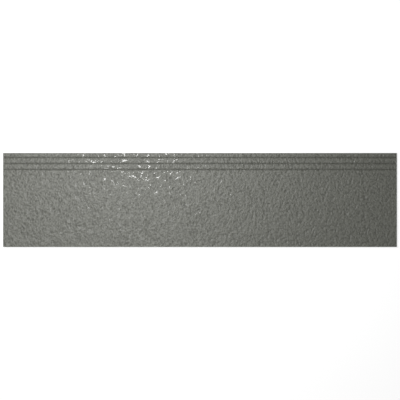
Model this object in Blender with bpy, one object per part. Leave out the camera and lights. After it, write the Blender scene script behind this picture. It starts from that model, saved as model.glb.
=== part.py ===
"""Ceramic stair tread: one pressed slab of glazed stoneware, in metres.

X runs along the step, -Y points to the front edge that the foot meets first, and +Z is up.
The origin is the middle of the underside. The walking face has a shallow pressed relief and
three round-bottomed anti-slip grooves beside its front edge, each with a long run-out behind
it. The underside has keying pockets that the adhesive bed grips.
"""

import math
from typing import NamedTuple

import bmesh
import bpy
from mathutils import Vector, noise

# Slab
TREAD_LENGTH = 1.198
TREAD_DEPTH = 0.286
TREAD_THICKNESS = 0.010

# Edges: the front one is rounded over, the other three have a ground arris
NOSE_RADIUS = 0.0015
NOSE_STEPS = 3
ARRIS = 0.0006

# Anti-slip grooves, each a round-bottomed channel with a broken front edge and a run-out behind
GROOVE_COUNT = 3
FIRST_GROOVE_INSET = 0.0138
GROOVE_PITCH = 0.01825
GROOVE_MOUTH = 0.0040
GROOVE_SINK = 0.0021
GROOVE_BREAK = 0.0005
GROOVE_RUN_OUT = 0.0040
GROOVE_STEPS = 8

# Pressed relief of the walking face, below the plane of its crests
RELIEF_SINK = 0.0005
RELIEF_PITCH = 0.030
RELIEF_STRETCH_SHARE = 1.3
RELIEF_FACET = 0.0108
RELIEF_MIDDLE_SHARE = 0.5
RELIEF_SWING_SHARE = 0.85

# Keying pockets of the underside, with drafted walls inside a plain border
POCKET_COLUMNS = 24
POCKET_ROWS = 6
POCKET_BORDER = 0.009
POCKET_RIB = 0.007
POCKET_SINK = 0.0009
POCKET_DRAFT = 0.0009
CUT_OVERRUN = 0.002

GLAZE_COLOUR = (0.191, 0.195, 0.175, 1.0)
GLAZE_ROUGHNESS = 0.34


class SectionRow(NamedTuple):
    """A line along the walking face: its place across the tread and its depth under the crests."""

    y: float
    sink: float


def clear_scene() -> None:
    for obj in list(bpy.data.objects):
        bpy.data.objects.remove(obj)


def new_object(name: str, bm: bmesh.types.BMesh) -> bpy.types.Object:
    mesh = bpy.data.meshes.new(name)
    bm.to_mesh(mesh)
    bm.free()
    return bpy.data.objects.new(name, mesh)


def glazed_stoneware() -> bpy.types.Material:
    material = bpy.data.materials.new("glazed_stoneware")
    material.use_nodes = True
    shader = material.node_tree.nodes["Principled BSDF"]
    shader.inputs["Base Color"].default_value = GLAZE_COLOUR
    shader.inputs["Roughness"].default_value = GLAZE_ROUGHNESS
    shader.inputs["Metallic"].default_value = 0
    return material


def evenly(start: float, end: float, step: float) -> list[float]:
    """Places from start to end, both included, about a step apart."""
    count = max(1, round((end - start) / step))
    return [start + (end - start) * i / count for i in range(count + 1)]


def nose_rows(front: float) -> list[SectionRow]:
    """The rounded front edge, from the front face up to where the walking face begins."""
    rows = []
    for i in range(NOSE_STEPS):
        angle = math.pi / 2 * i / NOSE_STEPS
        y = front + NOSE_RADIUS * (1 - math.cos(angle))
        rows.append(SectionRow(y, NOSE_RADIUS * (1 - math.sin(angle))))
    return rows


def land_rows(start: float, end: float) -> list[SectionRow]:
    """A stretch of walking face between two edges."""
    return [SectionRow(y, 0) for y in evenly(start, end, RELIEF_FACET)]


def groove_rows(middle: float) -> list[SectionRow]:
    """One groove, as an arc that hangs between the feet of its broken edge and its run-out."""
    half_mouth = GROOVE_MOUTH / 2
    arc_sink = GROOVE_SINK - GROOVE_BREAK
    radius = (half_mouth**2 + arc_sink**2) / (2 * arc_sink)
    half_angle = math.atan2(half_mouth, radius - arc_sink)
    rows = []
    for i in range(GROOVE_STEPS + 1):
        angle = half_angle * (2 * i / GROOVE_STEPS - 1)
        sink = GROOVE_SINK - radius * (1 - math.cos(angle))
        rows.append(SectionRow(middle + radius * math.sin(angle), sink))
    return rows


def section_rows() -> list[SectionRow]:
    """The walking face's section, from the front face to the back face."""
    front = -TREAD_DEPTH / 2
    back = TREAD_DEPTH / 2
    rows = nose_rows(front)
    land_start = front + NOSE_RADIUS
    for i in range(GROOVE_COUNT):
        middle = front + FIRST_GROOVE_INSET + i * GROOVE_PITCH
        rows += land_rows(land_start, middle - GROOVE_MOUTH / 2 - GROOVE_BREAK)
        rows += groove_rows(middle)
        land_start = middle + GROOVE_MOUTH / 2 + GROOVE_RUN_OUT
    rows += land_rows(land_start, back - ARRIS)
    rows.append(SectionRow(back, ARRIS))
    return rows


def relief_sink(x: float, y: float) -> float:
    """How far the pressed relief lies below its crests at a place on the walking face."""
    place = Vector((x, y / RELIEF_STRETCH_SHARE, TREAD_THICKNESS))
    swell = noise.noise(place / RELIEF_PITCH, noise_basis="PERLIN_ORIGINAL")
    share = RELIEF_MIDDLE_SHARE + RELIEF_SWING_SHARE * swell
    return RELIEF_SINK * min(1, max(0, share))


def walking_face(bm: bmesh.types.BMesh) -> None:
    """A grid whose rows follow the section and whose end columns drop to the ground arrises."""
    end = TREAD_LENGTH / 2
    columns = [-end, *evenly(ARRIS - end, end - ARRIS, RELIEF_FACET), end]
    rows = section_rows()
    bmesh.ops.create_grid(bm, x_segments=len(columns) - 1, y_segments=len(rows) - 1, size=1)
    bm.verts.ensure_lookup_table()
    for i, vertex in enumerate(bm.verts):
        x = columns[i % len(columns)]
        row = rows[i // len(columns)]
        end_sink = ARRIS if abs(x) == end else 0
        sink = max(row.sink, relief_sink(x, row.y), end_sink)
        vertex.co = (x, row.y, TREAD_THICKNESS - sink)


def sides_and_underside(bm: bmesh.types.BMesh) -> None:
    """Drops the walking face's border straight down to the underside and closes it there."""
    border = [edge for edge in bm.edges if edge.is_boundary]
    dropped = bmesh.ops.extrude_edge_only(bm, edges=border)["geom"]
    foot = [item for item in dropped if isinstance(item, bmesh.types.BMVert)]
    for vertex in foot:
        vertex.co.z = 0
    rim = [edge for edge in bm.edges if edge.is_boundary]
    bmesh.ops.contextual_create(bm, geom=rim)
    skirt = {edge for vertex in foot for edge in vertex.link_edges}
    bmesh.ops.dissolve_limit(bm, angle_limit=math.radians(1), verts=foot, edges=list(skirt))


def tread_slab() -> bpy.types.Object:
    bm = bmesh.new()
    walking_face(bm)
    sides_and_underside(bm)
    bmesh.ops.recalc_face_normals(bm, faces=bm.faces)
    return new_object("stair_tread", bm)


def pocket_cutter(bm: bmesh.types.BMesh, middle: Vector, mouth: Vector) -> None:
    """A block that narrows upwards to the pocket's floor and is as wide as its mouth at the underside."""
    flare = POCKET_DRAFT * CUT_OVERRUN / POCKET_SINK
    block = bmesh.ops.create_cube(bm, size=1)["verts"]
    for vertex in block:
        is_floor = vertex.co.z > 0
        growth = -POCKET_DRAFT if is_floor else flare
        vertex.co.x *= mouth.x + 2 * growth
        vertex.co.y *= mouth.y + 2 * growth
        vertex.co.z = POCKET_SINK if is_floor else -CUT_OVERRUN
    bmesh.ops.translate(bm, verts=block, vec=middle)


def underside_pockets() -> bpy.types.Object:
    """All the pockets' cutters as one object, in even columns and rows inside the border."""
    pitch_x = (TREAD_LENGTH - 2 * POCKET_BORDER + POCKET_RIB) / POCKET_COLUMNS
    pitch_y = (TREAD_DEPTH - 2 * POCKET_BORDER + POCKET_RIB) / POCKET_ROWS
    mouth = Vector((pitch_x - POCKET_RIB, pitch_y - POCKET_RIB, 0))
    bm = bmesh.new()
    for column in range(POCKET_COLUMNS):
        for row in range(POCKET_ROWS):
            x = (column - (POCKET_COLUMNS - 1) / 2) * pitch_x
            y = (row - (POCKET_ROWS - 1) / 2) * pitch_y
            pocket_cutter(bm, Vector((x, y, 0)), mouth)
    bmesh.ops.recalc_face_normals(bm, faces=bm.faces)
    return new_object("underside_pockets", bm)


def build() -> None:
    clear_scene()
    product = bpy.data.collections.new("ceramic_stair_tread")
    cutters = bpy.data.collections.new("cutters")
    for collection in (product, cutters):
        bpy.context.scene.collection.children.link(collection)

    pockets = underside_pockets()
    cutters.objects.link(pockets)
    pockets.hide_render = True
    pockets.display_type = "WIRE"

    tread = tread_slab()
    product.objects.link(tread)
    tread.data.materials.append(glazed_stoneware())
    tread.data.shade_smooth()
    tread.data.set_sharp_from_angle(angle=math.radians(30))
    cut = tread.modifiers.new("keying_pockets", "BOOLEAN")
    cut.operation = "DIFFERENCE"
    cut.solver = "EXACT"
    cut.object = pockets


build()
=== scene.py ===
"""The looks of a stoneware stair tread: glazed walking face, bare sides and keyed underside.

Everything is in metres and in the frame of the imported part. X runs along the step, -Y is the
grooved front edge and +Z is up out of the walking face.
"""

from __future__ import annotations

import logging
import math
from collections.abc import Callable, Iterator
from dataclasses import dataclass, field
from enum import Enum
from typing import TypeAlias

import bmesh
import bpy
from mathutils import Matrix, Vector


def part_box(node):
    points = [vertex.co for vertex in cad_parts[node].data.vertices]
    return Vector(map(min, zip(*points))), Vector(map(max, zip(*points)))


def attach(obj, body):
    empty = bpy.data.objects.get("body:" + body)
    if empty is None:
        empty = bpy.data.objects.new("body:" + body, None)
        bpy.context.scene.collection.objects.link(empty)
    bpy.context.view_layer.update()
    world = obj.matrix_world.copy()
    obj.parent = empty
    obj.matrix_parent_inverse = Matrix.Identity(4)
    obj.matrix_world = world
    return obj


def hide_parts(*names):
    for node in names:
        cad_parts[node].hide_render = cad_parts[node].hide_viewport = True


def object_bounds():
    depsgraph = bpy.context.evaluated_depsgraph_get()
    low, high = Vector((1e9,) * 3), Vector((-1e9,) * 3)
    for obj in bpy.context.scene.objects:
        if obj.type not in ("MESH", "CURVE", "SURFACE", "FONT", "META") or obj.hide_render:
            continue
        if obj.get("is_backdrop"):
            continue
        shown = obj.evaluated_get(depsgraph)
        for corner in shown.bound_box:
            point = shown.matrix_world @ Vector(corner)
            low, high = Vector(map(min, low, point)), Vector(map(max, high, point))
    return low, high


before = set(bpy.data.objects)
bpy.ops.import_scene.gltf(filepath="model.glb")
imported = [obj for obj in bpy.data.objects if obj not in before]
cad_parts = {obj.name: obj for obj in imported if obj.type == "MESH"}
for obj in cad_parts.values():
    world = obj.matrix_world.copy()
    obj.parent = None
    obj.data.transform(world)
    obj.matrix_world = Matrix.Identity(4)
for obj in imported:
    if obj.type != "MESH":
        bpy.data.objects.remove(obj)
CAD_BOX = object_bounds()

TREAD_NODE = "stair_tread"

log = logging.getLogger("stair_tread")


# Shader maths


Value: TypeAlias = "float | Signal"
Colour: TypeAlias = tuple[float, ...]

# The value about which a noise swings
NOISE_MIDDLE = 0.5

# The sockets through which a Mix node blends two colours
MIX_SHARE = 0
MIX_LOW = 6
MIX_HIGH = 7
MIX_RESULT = 2


class Operation(Enum):
    """The sums that a Math node is asked for."""

    ADD = "ADD"
    SUBTRACT = "SUBTRACT"
    MULTIPLY = "MULTIPLY"
    DIVIDE = "DIVIDE"


@dataclass(frozen=True)
class Signal:
    """A number that varies over a surface, as the output socket of a node.

    Attributes:
        sheet: The node sheet that the socket belongs to.
        socket: The output socket that carries the number.
    """

    sheet: ShaderSheet
    socket: bpy.types.NodeSocket

    def __add__(self, other: Value) -> Signal:
        """Adds another number."""
        return self.sheet.maths(Operation.ADD, self, other)

    def __radd__(self, other: Value) -> Signal:
        """Adds to another number."""
        return self.sheet.maths(Operation.ADD, other, self)

    def __sub__(self, other: Value) -> Signal:
        """Takes another number away."""
        return self.sheet.maths(Operation.SUBTRACT, self, other)

    def __rsub__(self, other: Value) -> Signal:
        """Is taken away from another number."""
        return self.sheet.maths(Operation.SUBTRACT, other, self)

    def __mul__(self, other: Value) -> Signal:
        """Multiplies by another number."""
        return self.sheet.maths(Operation.MULTIPLY, self, other)

    def __rmul__(self, other: Value) -> Signal:
        """Multiplies another number."""
        return self.sheet.maths(Operation.MULTIPLY, other, self)

    def __truediv__(self, other: Value) -> Signal:
        """Divides by another number."""
        return self.sheet.maths(Operation.DIVIDE, self, other)

    def clipped(self) -> Signal:
        """Keeps the number between 0 and 1."""
        return self.sheet.maths(Operation.ADD, self, 0.0, clip=True)


class ShaderSheet:
    """The node tree of one material or world, with short calls to lay out its nodes."""

    def __init__(self, tree: bpy.types.NodeTree) -> None:
        """Empties a tree and starts on it.

        Args:
            tree: The node tree of a material or a world.
        """
        self.tree = tree
        tree.nodes.clear()

    def node(
        self,
        kind: str,
        settings: dict[str, object] | None = None,
        inputs: dict[str | int, object] | None = None,
    ) -> bpy.types.Node:
        """Adds a node, sets its options and then its sockets.

        Args:
            kind: The node's type, such as ShaderNodeTexNoise.
            settings: The node's own options, set before its sockets.
            inputs: For each input socket, a value to hold or a socket to link.

        Returns:
            The new node.
        """
        made = self.tree.nodes.new(kind)
        for name, value in (settings or {}).items():
            setattr(made, name, value)
        for name, value in (inputs or {}).items():
            source = value.socket if isinstance(value, Signal) else value
            if isinstance(source, bpy.types.NodeSocket):
                self.tree.links.new(source, made.inputs[name])
            else:
                made.inputs[name].default_value = source
        return made

    def maths(
        self, operation: Operation, first: Value, second: Value, clip: bool = False
    ) -> Signal:
        """Adds a Math node.

        Args:
            operation: The sum that it does.
            first: Its first number.
            second: Its second number.
            clip: Whether the result is kept between 0 and 1.

        Returns:
            The result.
        """
        settings = {"operation": operation.value, "use_clamp": clip}
        made = self.node("ShaderNodeMath", settings, {0: first, 1: second})
        return Signal(self, made.outputs[0])

    def blend(self, share: Value, low: Colour, high: Colour) -> bpy.types.NodeSocket:
        """Mixes two colours.

        Args:
            share: How much of the second colour shows.
            low: The colour where the share is 0.
            high: The colour where the share is 1.

        Returns:
            The socket that carries the colour.
        """
        inputs = {MIX_SHARE: share, MIX_LOW: low, MIX_HIGH: high}
        made = self.node("ShaderNodeMix", {"data_type": "RGBA"}, inputs)
        return made.outputs[MIX_RESULT]

    def place(self) -> bpy.types.NodeSocket:
        """The place on the object, in metres, or in a world the direction of the ray."""
        return self.node("ShaderNodeTexCoord").outputs["Object"]

    def height(self) -> Signal:
        """The height over the underside, in metres, or in a world how steeply a ray looks up."""
        made = self.node("ShaderNodeSeparateXYZ", inputs={0: self.place()})
        return Signal(self, made.outputs["Z"])

    def noise(self, grain: Grain) -> Signal:
        """Adds an even noise from 0 to 1.

        Args:
            grain: The size and the layers of its spots.

        Returns:
            The noise.
        """
        squeeze = {0: self.place(), 1: (1.0, 1 / grain.stretch, 1.0)}
        squeezed = self.node("ShaderNodeVectorMath", {"operation": "MULTIPLY"}, squeeze)
        inputs = {
            "Vector": squeezed.outputs[0],
            "Scale": 1 / grain.pitch,
            "Detail": grain.detail,
            "Roughness": grain.roughness,
        }
        made = self.node("ShaderNodeTexNoise", inputs=inputs)
        return Signal(self, made.outputs["Fac"])

    def bump(self, height: Signal, distance: float) -> bpy.types.NodeSocket:
        """Turns a height into a tilt of the surface.

        Args:
            height: The height, from 0 to 1.
            distance: The real height that 1 stands for, in metres.

        Returns:
            The socket that carries the normal.
        """
        inputs = {"Height": height, "Distance": distance}
        return self.node("ShaderNodeBump", inputs=inputs).outputs["Normal"]

    def surface(self, inputs: dict[str | int, object]) -> None:
        """Ends a material's sheet in a Principled shader with these inputs."""
        shader = self.node("ShaderNodeBsdfPrincipled", inputs=inputs)
        self.node("ShaderNodeOutputMaterial", inputs={"Surface": shader.outputs[0]})


def new_material(name: str) -> tuple[bpy.types.Material, ShaderSheet]:
    """Starts a material on an empty sheet.

    Args:
        name: The material's name.

    Returns:
        The material and its sheet.
    """
    material = bpy.data.materials.new(name)
    material.use_nodes = True
    return material, ShaderSheet(material.node_tree)


# Finishes


@dataclass(frozen=True)
class Grain:
    """The size and the layers of a pattern of irregular spots.

    Attributes:
        pitch: The size of its largest spots, in metres.
        detail: How many finer layers it has.
        roughness: How strong those finer layers are.
        stretch: How much longer the spots are from front to back.
    """

    pitch: float
    detail: float = 2.0
    roughness: float = 0.5
    stretch: float = 1.0


@dataclass(frozen=True)
class HammeredGlaze:
    """The satin glaze of the walking face, painted darker the lower the surface lies: painted
    shade in the hollows and the grooves.

    Attributes:
        crest_colour: The colour of the glaze at the height of the crests.
        painted_shade_colour: The darker colour it is blended into lower down, as painted shade in
            the hollows and the grooves.
        crest_height: The height over the underside where the crest colour is full, in metres.
        painted_shade_height: The height where the painted shade is full.
        clouds: The wide spots in which it runs thinner and thicker.
        cloud_share: How far those spots move the colour.
        specks: The fine spots in which it does the same.
        speck_share: How far those spots move the colour.
        grain: The grain of its surface, finer than the facets of the skin.
        grain_sink: The depth of that grain, in metres.
        roughness: The roughness of the satin.
        roughness_swing: How far the fine spots move it.
        refraction: The index of refraction.
        specular_level: How strongly the satin mirrors.
        polish: How strongly a polished crest mirrors on top of that.
        polish_height: The height over the underside where the polish begins, in metres.
        polish_blend: The rise in which it comes to its full strength.
        coat_roughness: The roughness of the polish.
    """

    crest_colour: Colour = (0.217, 0.222, 0.188, 1.0)
    painted_shade_colour: Colour = (0.129, 0.132, 0.110, 1.0)
    crest_height: float = 0.0101
    painted_shade_height: float = 0.0085
    clouds: Grain = Grain(0.028, 1.0, 0.5, 1.3)
    cloud_share: float = 0.35
    specks: Grain = Grain(0.0045, 0.0, 0.5, 1.4)
    speck_share: float = 3.0
    grain: Grain = Grain(0.0050, 2.0, 0.5, 1.1)
    grain_sink: float = 0.0013
    roughness: float = 0.54
    roughness_swing: float = 0.10
    refraction: float = 1.5
    specular_level: float = 1.0
    polish: float = 0.80
    polish_height: float = 0.00996
    polish_blend: float = 0.00003
    coat_roughness: float = 0.03

    def material(self) -> bpy.types.Material:
        """Makes the material.

        Returns:
            The glaze, for the walking face and the edges that run out of it.
        """
        material, sheet = new_material("hammered_glaze")
        clouds = sheet.noise(self.clouds) - NOISE_MIDDLE
        specks = sheet.noise(self.specks) - NOISE_MIDDLE
        grain = sheet.noise(self.grain)
        drop = self.crest_height - self.painted_shade_height
        # Painted shade: the lower the surface lies, the darker the glaze, in the hollows and the
        # grooves.
        painted_shade = (self.crest_height - sheet.height()) / drop
        share = (painted_shade + clouds * self.cloud_share + specks * self.speck_share).clipped()
        polished = ((sheet.height() - self.polish_height) / self.polish_blend).clipped()
        sheet.surface(
            {
                "Base Color": sheet.blend(share, self.crest_colour, self.painted_shade_colour),
                "Roughness": self.roughness + specks * self.roughness_swing,
                "IOR": self.refraction,
                "Specular IOR Level": self.specular_level,
                "Coat Weight": polished * self.polish,
                "Coat Roughness": self.coat_roughness,
                "Normal": sheet.bump(grain, self.grain_sink),
            }
        )
        return material


@dataclass(frozen=True)
class BareStoneware:
    """The fired body where no glaze lies: on the sides and on the underside.

    Attributes:
        light_colour: The colour of its pale specks.
        dark_colour: The colour of its dark specks.
        specks: The spots of the two colours.
        grain: The grain of its surface.
        grain_sink: The depth of that grain, in metres.
        roughness: How rough it is.
    """

    light_colour: Colour = (0.235, 0.232, 0.215, 1.0)
    dark_colour: Colour = (0.165, 0.163, 0.150, 1.0)
    specks: Grain = Grain(0.0016, 4.0, 0.7)
    grain: Grain = Grain(0.0007, 2.0, 0.6)
    grain_sink: float = 0.00006
    roughness: float = 0.82

    def material(self) -> bpy.types.Material:
        """Makes the material.

        Returns:
            The bare body.
        """
        material, sheet = new_material("bare_stoneware")
        specks = sheet.noise(self.specks)
        grain = sheet.noise(self.grain)
        sheet.surface(
            {
                "Base Color": sheet.blend(specks, self.dark_colour, self.light_colour),
                "Roughness": self.roughness,
                "Normal": sheet.bump(grain, self.grain_sink),
            }
        )
        return material


class Finish(Enum):
    """The finishes of the tread, by their place in its list of materials."""

    GLAZED = 0
    BARE = 1


# Modelling


QUAD_CORNERS = 4


class Element(Enum):
    """The kinds of element that can be selected."""

    POINT = "VERT"
    EDGE = "EDGE"


def deselect_all() -> None:
    """Leaves nothing selected, so that an operator meets only what it is given."""
    bpy.ops.object.select_all(action="DESELECT")
    bpy.context.view_layer.objects.active = None


class Workpiece:
    """One mesh object on the bench, shaped in edit mode by selections made in code."""

    def __init__(self, name: str) -> None:
        """Takes the active object and opens it for editing.

        Args:
            name: The object's name.
        """
        self.piece = bpy.context.object
        self.piece.name = name
        self.piece.data.name = name
        self.open()

    def open(self) -> None:
        """Enters edit mode."""
        bpy.ops.object.mode_set(mode="EDIT")

    def pick(self, kind: Element, wanted: Callable[[object], bool]) -> None:
        """Selects the wanted elements and no others.

        Args:
            kind: The kind of element.
            wanted: Says of each element whether it is to be selected.
        """
        bpy.ops.mesh.select_mode(type=kind.value)
        bpy.ops.mesh.select_all(action="DESELECT")
        shape = bmesh.from_edit_mesh(self.piece.data)
        elements = {Element.POINT: shape.verts, Element.EDGE: shape.edges}[kind]
        for element in elements:
            if wanted(element):
                element.select_set(True)
        bmesh.update_edit_mesh(self.piece.data)

    def flatten(self, height: float) -> None:
        """Brings what is selected to one height.

        Args:
            height: The height over the underside.
        """
        bpy.ops.transform.resize(value=(1, 1, 0), center_override=(0, 0, height))

    def put_in_order(self) -> None:
        """Orders the edges, the faces and their corners by their points.

        Dissolving leaves them in an order of its own, so that without this the large flat faces
        would be split into other triangles in every run.
        """
        shape = bmesh.from_edit_mesh(self.piece.data)
        shape.verts.index_update()
        for face in [face for face in shape.faces if len(face.verts) > QUAD_CORNERS]:
            ring = list(face.verts)
            first = ring.index(min(ring, key=lambda vert: vert.index))
            shape.faces.remove(face)
            shape.faces.new(ring[first:] + ring[:first])
        for elements in (shape.edges, shape.faces):
            ordered = sorted(elements, key=lambda item: sorted(vert.index for vert in item.verts))
            rank = {item: i for i, item in enumerate(ordered)}
            elements.sort(key=lambda item, rank=rank: rank[item])
        bmesh.update_edit_mesh(self.piece.data)

    def close(self) -> bpy.types.Object:
        """Leaves edit mode.

        Returns:
            The object.
        """
        bpy.ops.object.mode_set(mode="OBJECT")
        return self.piece


# The tread


NOISE_BASIS = "ORIGINAL_PERLIN"


class Pattern(Enum):
    """The ways in which a pressing rises and falls."""

    ROUNDED = "SOFT_NOISE"
    RIDGED = "HARD_NOISE"


@dataclass(frozen=True)
class Pressing:
    """One layer of the relief that the mould presses into the walking face.

    Attributes:
        name: What the layer is called.
        pattern: Whether its crests are rounded or run in thin ridges.
        pitch: The size of its swells, in metres.
        sink: How far its deepest hollows lie under its crests.
        middle: The pattern's value that is left at the height of the crests.
        turn: How far the pattern's own rows are turned from the tread's.
    """

    name: str
    pattern: Pattern
    pitch: float
    sink: float
    middle: float
    turn: float = 0.0

    def press(self, piece: bpy.types.Object) -> None:
        """Presses the layer into a piece.

        Args:
            piece: The sheet that takes the relief.
        """
        ground = bpy.data.textures.new(self.name, "CLOUDS")
        ground.noise_basis = NOISE_BASIS
        ground.noise_type = self.pattern.value
        ground.noise_scale = self.pitch
        ground.noise_depth = 0
        deselect_all()
        bpy.ops.object.empty_add(rotation=(0, 0, self.turn))
        guide = bpy.context.object
        layer = piece.modifiers.new(self.name, "DISPLACE")
        layer.texture = ground
        layer.texture_coords = "OBJECT"
        layer.texture_coords_object = guide
        layer.direction = "Z"
        layer.mid_level = self.middle
        layer.strength = -self.sink
        bpy.context.view_layer.objects.active = piece
        bpy.ops.object.modifier_apply(modifier=self.name)
        bpy.data.objects.remove(guide)


@dataclass(frozen=True)
class Row:
    """A line along the walking face.

    Attributes:
        y: Its place from front to back.
        sink: How far it lies under the crests.
    """

    y: float
    sink: float


@dataclass(frozen=True)
class Groove:
    """An anti-slip groove: an arc that hangs between a broken front edge and a back run-out.

    Attributes:
        middle: Where the middle of the arc lies from front to back.
        mouth: The width of the arc at its top.
        sink: How far its bottom lies under the crests.
        broken_edge: The size of the broken front edge.
        run_out: How far the run-out reaches behind the arc.
        steps: How many facets the arc has.
    """

    middle: float
    mouth: float = 0.0040
    sink: float = 0.0021
    broken_edge: float = 0.0005
    run_out: float = 0.0040
    steps: int = 8

    @property
    def front(self) -> float:
        """Where the walking face ends in front of the groove."""
        return self.middle - self.mouth / 2 - self.broken_edge

    @property
    def back(self) -> float:
        """Where the walking face begins again behind the groove."""
        return self.middle + self.mouth / 2 + self.run_out

    def rows(self) -> Iterator[Row]:
        """Works out the groove's lines.

        Yields:
            Each line of the arc, from the front one to the back one.
        """
        half_mouth = self.mouth / 2
        arc_sink = self.sink - self.broken_edge
        radius = (half_mouth**2 + arc_sink**2) / (2 * arc_sink)
        half_angle = math.atan2(half_mouth, radius - arc_sink)
        for i in range(self.steps + 1):
            angle = half_angle * (2 * i / self.steps - 1)
            sink = self.sink - radius * (1 - math.cos(angle))
            yield Row(self.middle + radius * math.sin(angle), sink)


@dataclass
class StairTread:
    """The pressed slab, made as a fine face over a plain base that holds the keying pockets.

    Attributes:
        low: The lowest corner of the tread's box.
        high: The highest corner of the tread's box.
        nose_radius: The radius of the rounded front edge.
        nose_steps: How many facets that edge has.
        arris: The size of the ground arris along the other three edges.
        groove_count: How many anti-slip grooves there are.
        first_groove_inset: How far the first groove lies behind the front edge.
        groove_pitch: How far the grooves lie apart.
        facet: The size of the skin's facets.
        column_cuts: How many cuts are made across the tread's length, in each round.
        base_height: The height at which the face's sides meet the base.
        pocket_columns: How many keying pockets lie along the tread.
        pocket_rows: How many lie from front to back.
        pocket_border: The width of the plain border round them.
        pocket_rib: The width of the rib between two of them.
        pocket_sink: How deep they are.
        pocket_draft: How far their walls lean in.
        snap: How near two places are taken for one.
        least_lean: How far a facet has to lean upwards to take the glaze.
        smooth_angle: The angle up to which an edge is shaded smooth.
        pressings: The layers of the relief, in the order in which they are pressed.
        stretch: How much longer the relief is from front to back.
        glaze: The finish of the walking face.
        body: The finish of the sides and the underside.
    """

    low: Vector
    high: Vector
    nose_radius: float = 0.0015
    nose_steps: int = 5
    arris: float = 0.0006
    groove_count: int = 3
    first_groove_inset: float = 0.0138
    groove_pitch: float = 0.01825
    facet: float = 0.0021
    column_cuts: tuple[int, ...] = (94, 5)
    base_height: float = 0.004
    pocket_columns: int = 24
    pocket_rows: int = 6
    pocket_border: float = 0.009
    pocket_rib: float = 0.007
    pocket_sink: float = 0.0009
    pocket_draft: float = 0.0009
    snap: float = 0.00001
    least_lean: float = 0.00001
    smooth_angle: float = math.radians(30)
    pressings: tuple[Pressing, ...] = (
        Pressing("swells", Pattern.ROUNDED, 0.030, 0.0002, 0.2),
        Pressing("hammering", Pattern.ROUNDED, 0.0104, 0.0013, 0.447, math.radians(29)),
        Pressing("leather_grain", Pattern.RIDGED, 0.0084, 0.0021, 0.097, math.radians(22)),
    )
    stretch: float = 1.3
    glaze: HammeredGlaze = field(default_factory=HammeredGlaze)
    body: BareStoneware = field(default_factory=BareStoneware)

    @property
    def grooves(self) -> list[Groove]:
        """The grooves, from the front one to the back one."""
        first = self.low.y + self.first_groove_inset
        return [Groove(first + i * self.groove_pitch) for i in range(self.groove_count)]

    def lands(self) -> Iterator[tuple[float, float]]:
        """Finds the flat stretches of the walking face.

        Yields:
            The front and the back of each stretch.
        """
        start = self.low.y + self.nose_radius
        for groove in self.grooves:
            yield start, groove.front
            start = groove.back
        yield start, self.high.y - self.arris

    def section(self) -> Iterator[Row]:
        """Works out the lines that shape the face, apart from the facets of its lands.

        Yields:
            Each line, with its depth under the crests.
        """
        for i in range(self.nose_steps):
            angle = math.pi / 2 * i / self.nose_steps
            y = self.low.y + self.nose_radius * (1 - math.cos(angle))
            yield Row(y, self.nose_radius * (1 - math.sin(angle)))
        for start, end in self.lands():
            yield Row(start, 0)
            yield Row(end, 0)
        for groove in self.grooves:
            yield from groove.rows()
        yield Row(self.high.y, self.arris)

    def walking_face(self) -> bpy.types.Object:
        """Models the face as a sheet: its section's lines first, then its facets and its relief.

        Returns:
            The sheet.
        """
        size = self.high - self.low
        deselect_all()
        bpy.ops.mesh.primitive_plane_add(size=1, location=(0, 0, 0))
        bench = Workpiece("stair_tread_face")
        bpy.ops.transform.resize(value=(size.x, size.y, 1))
        bpy.ops.transform.translate(value=(0, 0, self.high.z))
        for row in self.section():
            self._score(Vector((0, row.y, 0)), Vector((0, 1, 0)))
        for arris_x in (self.low.x + self.arris, self.high.x - self.arris):
            self._score(Vector((arris_x, 0, 0)), Vector((1, 0, 0)))
        for row in self.section():
            bench.pick(Element.POINT, lambda vert, y=row.y: abs(vert.co.y - y) < self.snap)
            bpy.ops.transform.translate(value=(0, 0, -row.sink))
        rim_height = self.high.z - self.arris
        end = self.high.x - self.snap
        bench.pick(Element.POINT, lambda vert: abs(vert.co.x) > end and vert.co.z > rim_height)
        bench.flatten(rim_height)
        self._facet(bench)
        self._stretch(1 / self.stretch)
        sheet = bench.close()
        for pressing in self.pressings:
            pressing.press(sheet)
        bench.open()
        self._stretch(self.stretch)
        bench.pick(Element.POINT, lambda vert: vert.co.z > self.high.z)
        bench.flatten(self.high.z)
        return bench.close()

    def _stretch(self, factor: float) -> None:
        """Draws the whole sheet out from front to back, so that the relief comes out longer."""
        bpy.ops.mesh.select_all(action="SELECT")
        bpy.ops.transform.resize(value=(1, factor, 1))

    def _score(self, place: Vector, across: Vector) -> None:
        """Adds a line of points right across the sheet.

        Args:
            place: A point on the line.
            across: The direction square to it.
        """
        bpy.ops.mesh.select_all(action="SELECT")
        bpy.ops.mesh.bisect(plane_co=place, plane_no=across, threshold=self.snap)

    def _facet(self, bench: Workpiece) -> None:
        """Splits the sheet into facets small enough to take the relief.

        Args:
            bench: The sheet, open for editing.
        """
        for cuts in self.column_cuts:
            bench.pick(Element.EDGE, lambda edge: self._reach(edge) > self.facet)
            bpy.ops.mesh.subdivide(number_cuts=cuts)
        for start, end in self.lands():
            bench.pick(Element.EDGE, lambda edge, land=(start, end): self._crosses(edge, land))
            cuts = round((end - start) / self.facet) - 1
            bpy.ops.mesh.subdivide(number_cuts=cuts)

    def _reach(self, edge: bmesh.types.BMEdge) -> float:
        """How far an edge reaches along the tread."""
        return abs(edge.verts[0].co.x - edge.verts[1].co.x)

    def _crosses(self, edge: bmesh.types.BMEdge, land: tuple[float, float]) -> bool:
        """Whether an edge runs from a land's front to its back."""
        ends = sorted(vert.co.y for vert in edge.verts)
        return abs(ends[0] - land[0]) < self.snap and abs(ends[1] - land[1]) < self.snap

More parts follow.
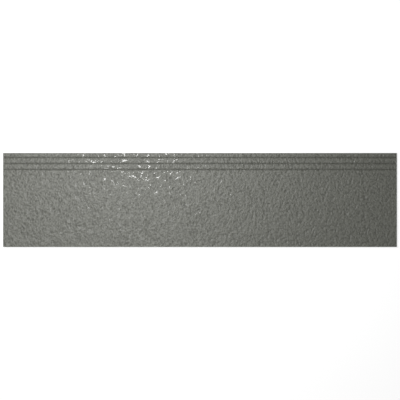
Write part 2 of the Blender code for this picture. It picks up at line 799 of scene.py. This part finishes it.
    def drop_sides(self, sheet: bpy.types.Object) -> None:
        """Draws the face's rim straight down to where the base begins.

        Args:
            sheet: The finished face.
        """
        deselect_all()
        sheet.select_set(True)
        bpy.context.view_layer.objects.active = sheet
        bench = Workpiece(sheet.name)
        bench.pick(Element.EDGE, lambda edge: edge.is_boundary)
        bpy.ops.mesh.extrude_edges_move()
        bench.flatten(self.base_height)
        foot = self.base_height + self.snap
        bench.pick(Element.EDGE, lambda edge: min(vert.co.z for vert in edge.verts) < foot)
        bpy.ops.mesh.dissolve_limited(angle_limit=self.smooth_angle, use_dissolve_boundaries=True)
        bench.close()

    def base(self) -> bpy.types.Object:
        """Models the base: a grid whose cells are inset into pockets, with a border and low sides.

        Returns:
            The base.
        """
        size = self.high - self.low
        rim = 2 * self.pocket_border - self.pocket_rib
        inner = Vector((size.x - rim, size.y - rim, 1))
        deselect_all()
        bpy.ops.mesh.primitive_grid_add(
            x_subdivisions=self.pocket_columns, y_subdivisions=self.pocket_rows, size=1
        )
        bench = Workpiece("stair_tread_base")
        bpy.ops.transform.resize(value=inner)
        bpy.ops.mesh.flip_normals()
        bpy.ops.mesh.inset(use_individual=True, thickness=self.pocket_rib / 2)
        bpy.ops.mesh.inset(
            use_individual=True, thickness=self.pocket_draft, depth=-self.pocket_sink
        )
        bench.pick(Element.EDGE, lambda edge: edge.is_boundary)
        bpy.ops.mesh.extrude_edges_move()
        bpy.ops.transform.resize(value=(size.x / inner.x, size.y / inner.y, 1))
        self._dissolve_rim(bench)
        bench.pick(Element.EDGE, lambda edge: edge.is_boundary)
        bpy.ops.mesh.extrude_edges_move()
        bench.flatten(self.base_height)
        return bench.close()

    def _dissolve_rim(self, bench: Workpiece) -> None:
        """Takes the points between the corners out of the base's rim.

        Args:
            bench: The base, open for editing.
        """
        corner = Vector((self.high.x - self.snap, self.high.y - self.snap))

        def between(vert: bmesh.types.BMVert) -> bool:
            """Tells the points between the corners from all others.

            Args:
                vert: A point of the base.

            Returns:
                Whether it lies on the rim, but not at a corner.
            """
            at_end = abs(vert.co.x) > corner.x
            at_side = abs(vert.co.y) > corner.y
            return at_end != at_side

        bench.pick(Element.POINT, between)
        bpy.ops.mesh.dissolve_verts()

    def join(self, sheet: bpy.types.Object, base: bpy.types.Object) -> bpy.types.Object:
        """Closes the face and the base into one skin.

        Args:
            sheet: The face with its sides.
            base: The base.

        Returns:
            The whole tread.
        """
        deselect_all()
        for half in (base, sheet):
            half.select_set(True)
        bpy.context.view_layer.objects.active = sheet
        bpy.ops.object.join()
        bench = Workpiece("glazed_stair_tread")
        bpy.ops.mesh.select_all(action="SELECT")
        bpy.ops.mesh.remove_doubles(threshold=self.snap)
        bpy.ops.mesh.normals_make_consistent(inside=False)
        bench.put_in_order()
        return bench.close()

    def dress(self, tread: bpy.types.Object) -> None:
        """Gives the tread its finishes and its smooth shading.

        Args:
            tread: The whole tread.
        """
        tread.data.materials.clear()
        tread.data.materials.append(self.glaze.material())
        tread.data.materials.append(self.body.material())
        for face in tread.data.polygons:
            finish = Finish.GLAZED if face.normal.z > self.least_lean else Finish.BARE
            face.material_index = finish.value
        bpy.context.view_layer.objects.active = tread
        bpy.ops.object.shade_smooth_by_angle(angle=self.smooth_angle)

    def build(self) -> bpy.types.Object:
        """Makes the whole tread.

        Returns:
            The tread.
        """
        sheet = self.walking_face()
        self.drop_sides(sheet)
        tread = self.join(sheet, self.base())
        self.dress(tread)
        return tread


# The studio


@dataclass(frozen=True)
class Softbox:
    """A square lamp over the tread, aimed straight down.

    Attributes:
        name: What it is called.
        place: Its middle.
        side: The length of its sides.
        power: Its power, in watts.
    """

    name: str
    place: Vector
    side: float
    power: float

    def build(self) -> None:
        """Hangs the lamp."""
        lamp = bpy.data.lights.new(self.name, "AREA")
        lamp.size = self.side
        lamp.energy = self.power
        holder = bpy.data.objects.new(self.name, lamp)
        holder.location = self.place
        bpy.context.scene.collection.objects.link(holder)


@dataclass
class Studio:
    """A white studio that looks straight down on the tread, with its front edge at the top.

    Attributes:
        face_height: The height of the walking face over the underside.
        image_side: The side of the square photograph, in pixels.
        tread_length: The length of the tread, in metres.
        tread_pixels: The length of the tread in the photograph, in pixels.
        camera_height: The height of the camera over the walking face.
        sensor: The width of the camera's sensor, in millimetres.
        key_pixel: The pixel that the key lamp hangs over.
        key_height: Its height over the walking face.
        key_side: The length of its sides.
        key_power: Its power, in watts.
        fill_pixel: The pixel that the fill lamp hangs over.
        fill_height: Its height over the walking face.
        fill_side: The length of its sides.
        fill_power: Its power, in watts.
        room_colour: The colour of the room's even light.
        room_strength: The strength of that light on matt surfaces.
        backdrop_strength: The brightness of the walls, where they are seen or mirrored.
        ceiling_strength: The brightness of the ceiling, where it is seen or mirrored.
        ceiling_rise: How steeply a ray looks up, from 0 to 1, when it meets the ceiling alone.
        ceiling_blend: The part of that rise in which the wall passes into the ceiling.
        floor_side: The length of the floor's sides.
        floor_colour: The colour of the floor.
        floor_glow: The light that the floor gives off towards the camera.
    """

    face_height: float
    image_side: int = 400
    tread_length: float = 1.198
    tread_pixels: float = 393.88
    camera_height: float = 3.0
    sensor: float = 36.0
    key_pixel: tuple[float, float] = (100.0, 98.0)
    key_height: float = 1.3
    key_side: float = 0.41
    key_power: float = 10.2
    fill_pixel: tuple[float, float] = (0.0, 340.0)
    fill_height: float = 3.0
    fill_side: float = 1.4
    fill_power: float = 12.5
    room_colour: Colour = (1.0, 1.0, 1.0, 1.0)
    room_strength: float = 0.032
    backdrop_strength: float = 0.8
    ceiling_strength: float = 0.04
    ceiling_rise: float = 0.8
    ceiling_blend: float = 0.3
    floor_side: float = 30.0
    floor_colour: Colour = (0.62, 0.62, 0.62, 1.0)
    floor_glow: float = 0.78

    @property
    def pixel(self) -> float:
        """How much of the walking face a pixel covers, in metres."""
        return self.tread_length / self.tread_pixels

    def over_pixel(self, pixel: tuple[float, float], height: float) -> Vector:
        """Finds the place over a pixel of the photograph.

        Args:
            pixel: The pixel, from the top left corner.
            height: The height over the walking face.

        Returns:
            The place.
        """
        half = self.image_side / 2
        across = (half - pixel[0]) * self.pixel
        down = (pixel[1] - half) * self.pixel
        return Vector((across, down, self.face_height + height))

    def hang_camera(self) -> None:
        """Hangs the camera over the middle of the tread, turned so that the grooves are on top."""
        lens = bpy.data.cameras.new("overhead_camera")
        lens.sensor_width = self.sensor
        lens.lens = self.sensor * self.camera_height / (self.pixel * self.image_side)
        holder = bpy.data.objects.new("overhead_camera", lens)
        holder.location = (0, 0, self.face_height + self.camera_height)
        holder.rotation_euler = (0, 0, math.pi)
        bpy.context.scene.collection.objects.link(holder)
        bpy.context.scene.camera = holder

    def light_room(self) -> None:
        """Fills the room with an even light, between white walls and a dim ceiling."""
        room = bpy.data.worlds.new("studio_room")
        room.use_nodes = True
        sheet = ShaderSheet(room.node_tree)
        path = sheet.node("ShaderNodeLightPath")
        seen = Signal(sheet, path.outputs["Is Camera Ray"])
        mirrored = Signal(sheet, path.outputs["Is Glossy Ray"])
        through = Signal(sheet, path.outputs["Is Transmission Ray"])
        shown = (seen + mirrored + through).clipped()
        wall = ((self.ceiling_rise - sheet.height()) / self.ceiling_blend).clipped()
        picture = self.ceiling_strength + wall * (self.backdrop_strength - self.ceiling_strength)
        strength = self.room_strength + shown * (picture - self.room_strength)
        inputs = {"Color": self.room_colour, "Strength": strength}
        light = sheet.node("ShaderNodeBackground", inputs=inputs)
        sheet.node("ShaderNodeOutputWorld", inputs={"Surface": light.outputs[0]})
        bpy.context.scene.world = room

    def lay_floor(self) -> None:
        """Lays a wide pale floor that looks white and still takes the tread's shadow."""
        deselect_all()
        bpy.ops.mesh.primitive_plane_add(size=self.floor_side, location=(0, 0, 0))
        floor = bpy.context.object
        floor.name = "studio_floor"
        material, sheet = new_material("studio_floor")
        path = sheet.node("ShaderNodeLightPath")
        matt = sheet.node("ShaderNodeBsdfDiffuse", inputs={"Color": self.floor_colour})
        glow = sheet.node("ShaderNodeEmission", inputs={"Strength": self.floor_glow})
        lifted = sheet.node("ShaderNodeAddShader", inputs={0: matt.outputs[0], 1: glow.outputs[0]})
        inputs = {0: path.outputs["Is Camera Ray"], 1: matt.outputs[0], 2: lifted.outputs[0]}
        surface = sheet.node("ShaderNodeMixShader", inputs=inputs)
        sheet.node("ShaderNodeOutputMaterial", inputs={"Surface": surface.outputs[0]})
        floor.data.materials.append(material)
        floor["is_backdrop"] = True

    def build(self) -> None:
        """Sets up the camera, the lights and the floor."""
        self.hang_camera()
        self.light_room()
        self.lay_floor()
        key_place = self.over_pixel(self.key_pixel, self.key_height)
        Softbox("key", key_place, self.key_side, self.key_power).build()
        fill_place = self.over_pixel(self.fill_pixel, self.fill_height)
        Softbox("fill", fill_place, self.fill_side, self.fill_power).build()
        bpy.context.scene.view_settings.view_transform = "Standard"


def main() -> None:
    """Builds the tread and the studio round it."""
    logging.basicConfig(level=logging.INFO)
    low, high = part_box(TREAD_NODE)
    tread = StairTread(low, high).build()
    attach(tread, "root")
    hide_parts(TREAD_NODE)
    log.info("%s: %d faces", tread.name, len(tread.data.polygons))
    Studio(face_height=high.z).build()
    boxes = {"cad": CAD_BOX, "visual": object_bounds()}
    {name: [list(corner) for corner in box] for name, box in boxes.items()}


if __name__ == "__main__":
    main()
